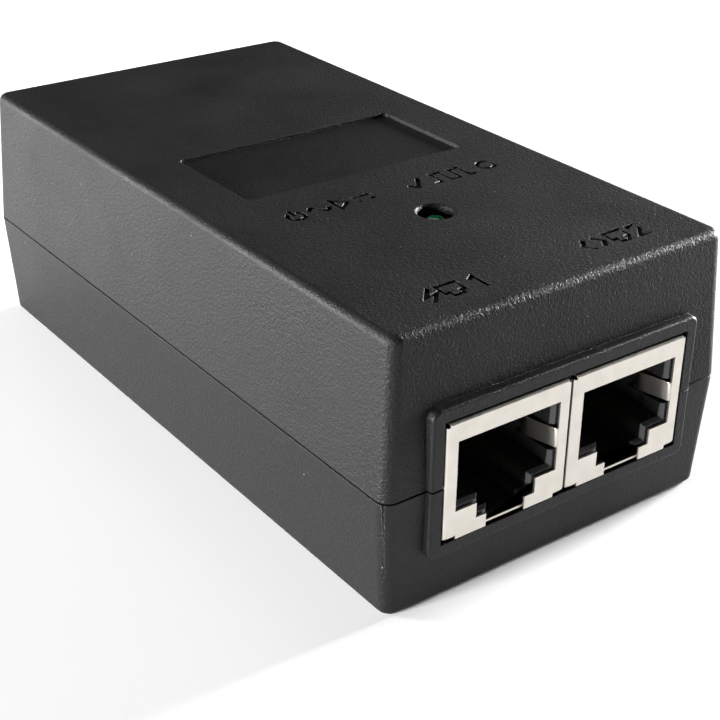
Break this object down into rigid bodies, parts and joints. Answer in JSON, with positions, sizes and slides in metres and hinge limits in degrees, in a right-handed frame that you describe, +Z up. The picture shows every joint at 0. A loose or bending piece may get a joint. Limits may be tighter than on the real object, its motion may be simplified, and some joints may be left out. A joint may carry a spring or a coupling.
{
  "type": "poe injector",
  "caption": "Black moulded mains adapter with shielded modular sockets in a raised frame at the front, a recessed lamp and label pocket on top, and a mains inlet at the rear.",
  "frame": {"origin": "on the standing surface, under the middle of the case", "axes": "+Z up, -Y the way the sockets face, +X to the right seen from the front, +Y towards the mains inlet"},
  "size_m": [0.046, 0.0884, 0.031],
  "materials": {
    "case_black": "fine moulded grain, matte",
    "socket_black": "semi-matte glass-filled plastic",
    "plated_steel": "bright tin plate",
    "gold_wire": "gold-plated bronze",
    "brass_pin": "nickel-plated brass",
    "lamp_green": "clear green epoxy",
    "board_green": "green solder mask on laminate",
    "label_silver": "blank silver film",
    "ferrite_grey": "sintered ferrite",
    "tape_yellow": "polyester tape",
    "copper": "enamelled copper wire",
    "sleeve_black": "shrunk sleeve",
    "epoxy_black": "moulded epoxy",
    "sink_aluminium": "mill finish",
    "box_yellow": "moulded capacitor case",
    "fuse_brown": "moulded fuse case"
  },
  "bodies": {
    "case": {"top_cover": "case_black", "bottom_case": "case_black", "rating_label": "label_silver", "circuit_board": "board_green", "inlet_body": "socket_black", "inlet_pin_line": "brass_pin", "inlet_pin_neutral": "brass_pin", "inlet_pin_earth": "brass_pin", "status_lamp": "lamp_green", "lamp_lead_anode": "plated_steel", "lamp_lead_cathode": "plated_steel", "transformer_core": "ferrite_grey", "transformer_coil": "tape_yellow", "choke_core": "ferrite_grey", "choke_winding_line": "copper", "choke_winding_neutral": "copper", "mains_fuse": "fuse_brown", "interference_capacitor": "box_yellow", "bridge_rectifier": "epoxy_black", "bulk_capacitor": "sleeve_black", "output_capacitor": "sleeve_black", "primary_heat_sink": "sink_aluminium", "output_heat_sink": "sink_aluminium", "switching_transistor": "epoxy_black", "output_diode": "epoxy_black", "feedback_coupler": "epoxy_black", "control_chip": "epoxy_black", "poe_shield": "plated_steel", "poe_housing": "socket_black", "lan_shield": "plated_steel", "lan_housing": "socket_black"},
    "poe_wires": {"poe_contact_1": "gold_wire", "poe_contact_2": "gold_wire", "poe_contact_3": "gold_wire", "poe_contact_4": "gold_wire", "poe_contact_5": "gold_wire", "poe_contact_6": "gold_wire", "poe_contact_7": "gold_wire", "poe_contact_8": "gold_wire"},
    "poe_finger_left": {"poe_finger_left": "plated_steel"},
    "poe_finger_right": {"poe_finger_right": "plated_steel"},
    "lan_wires": {"lan_contact_1": "gold_wire", "lan_contact_2": "gold_wire", "lan_contact_3": "gold_wire", "lan_contact_4": "gold_wire", "lan_contact_5": "gold_wire", "lan_contact_6": "gold_wire", "lan_contact_7": "gold_wire", "lan_contact_8": "gold_wire"},
    "lan_finger_left": {"lan_finger_left": "plated_steel"},
    "lan_finger_right": {"lan_finger_right": "plated_steel"}
  },
  "joints": [
    {"name": "poe_wires_flex", "type": "hinge", "parent": "case", "child": "poe_wires", "pos_m": [-0.00819, -0.0424, 0.01895], "axis": [1, 0, 0], "range_deg": [0, 10], "stiffness_Nm_per_rad": 0.3},
    {"name": "poe_finger_left_flex", "type": "hinge", "parent": "case", "child": "poe_finger_left", "pos_m": [-0.01469, -0.04408, 0.0144], "axis": [0, 0, 1], "range_deg": [0, 7], "stiffness_Nm_per_rad": 0.05},
    {"name": "poe_finger_right_flex", "type": "hinge", "parent": "case", "child": "poe_finger_right", "pos_m": [-0.00169, -0.04408, 0.0144], "axis": [0, 0, -1], "range_deg": [0, 7], "stiffness_Nm_per_rad": 0.05},
    {"name": "lan_wires_flex", "type": "hinge", "parent": "case", "child": "lan_wires", "pos_m": [0.00819, -0.0424, 0.01895], "axis": [1, 0, 0], "range_deg": [0, 10], "stiffness_Nm_per_rad": 0.3},
    {"name": "lan_finger_left_flex", "type": "hinge", "parent": "case", "child": "lan_finger_left", "pos_m": [0.00169, -0.04408, 0.0144], "axis": [0, 0, 1], "range_deg": [0, 7], "stiffness_Nm_per_rad": 0.05},
    {"name": "lan_finger_right_flex", "type": "hinge", "parent": "case", "child": "lan_finger_right", "pos_m": [0.01469, -0.04408, 0.0144], "axis": [0, 0, -1], "range_deg": [0, 7], "stiffness_Nm_per_rad": 0.05}
  ]
}
